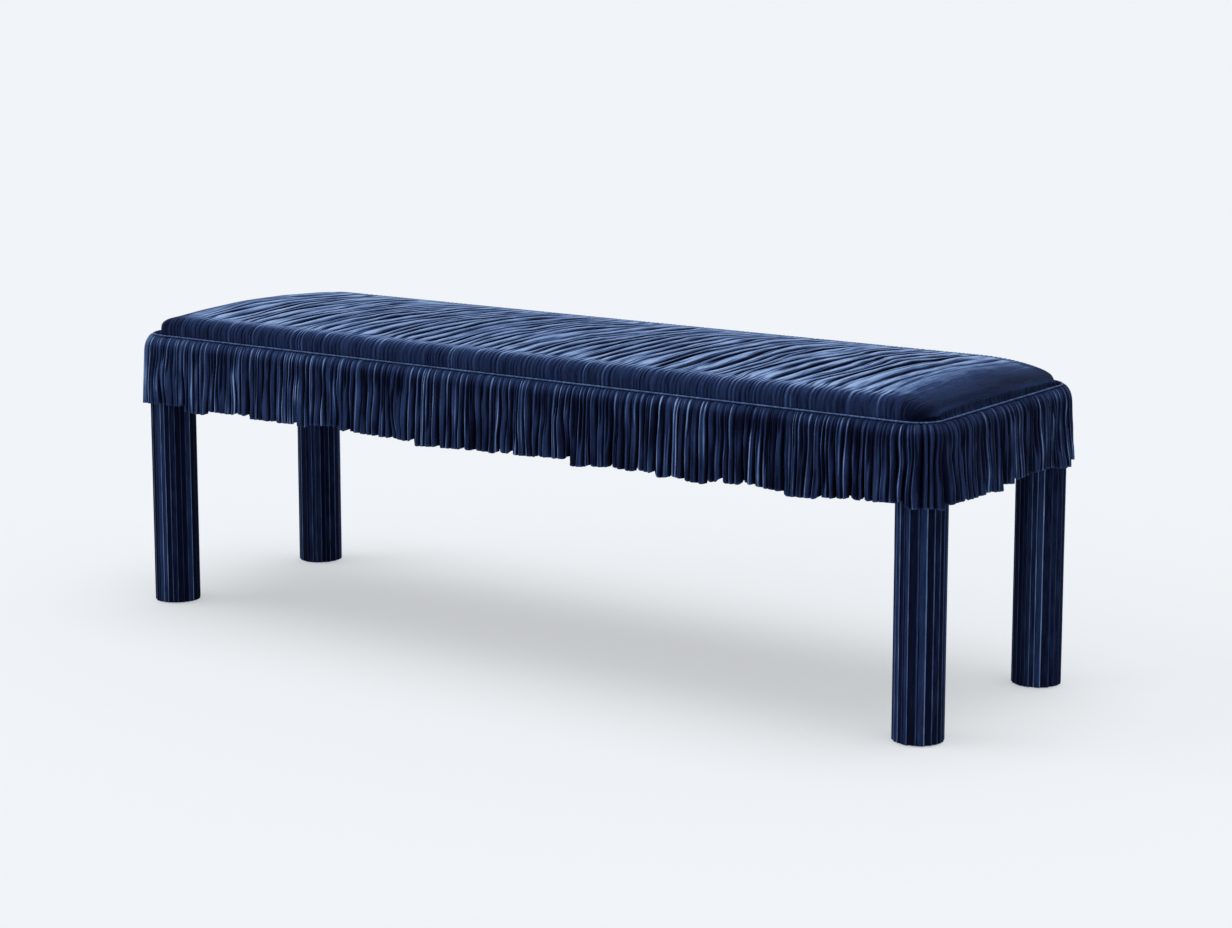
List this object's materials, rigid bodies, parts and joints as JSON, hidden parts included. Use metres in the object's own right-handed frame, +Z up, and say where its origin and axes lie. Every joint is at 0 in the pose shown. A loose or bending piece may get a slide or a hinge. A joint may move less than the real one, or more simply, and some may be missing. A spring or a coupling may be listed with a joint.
{
  "type": "upholstered bench",
  "caption": "Long upholstered bench with a gathered velvet seat pad, a pleated skirt round the frame and round legs in pleated sleeves.",
  "frame": {"origin": "on the floor under the middle of the seat", "axes": "+X along the bench, +Y towards its back, +Z up"},
  "size_m": [1.3924, 0.4404, 0.4569],
  "materials": {
    "velvet": "navy velvet, gathered and pleated, short pile with a pale blue sheen on the folds",
    "polyester_wadding": "soft white polyester wadding",
    "seat_foam": "cut polyurethane foam",
    "felt": "grey pressed felt",
    "plywood": "unfinished birch plywood",
    "pine": "planed, unfinished pine",
    "black_cambric": "thin black non-woven cloth",
    "nylon": "moulded black nylon",
    "zinc_steel": "zinc-plated steel"
  },
  "bodies": {
    "root": {"seat_cover": "velvet", "seam_piping": "velvet", "skirt_front": "velvet", "skirt_back": "velvet", "skirt_left": "velvet", "skirt_right": "velvet", "leg_sleeve_left_front": "velvet", "leg_sleeve_left_back": "velvet", "leg_sleeve_right_front": "velvet", "leg_sleeve_right_back": "velvet", "wadding": "polyester_wadding", "foam_pad": "seat_foam", "edge_roll": "felt", "seat_deck": "plywood", "front_rail": "pine", "back_rail": "pine", "left_end_rail": "pine", "right_end_rail": "pine", "cross_rails": "pine", "corner_blocks": "pine", "loose_tenons": "pine", "dust_cover": "black_cambric", "leg_core_left_front": "pine", "leg_core_left_back": "pine", "leg_core_right_front": "pine", "leg_core_right_back": "pine", "leg_glides": "nylon", "leg_bolts": "zinc_steel"}
  },
  "joints": []
}
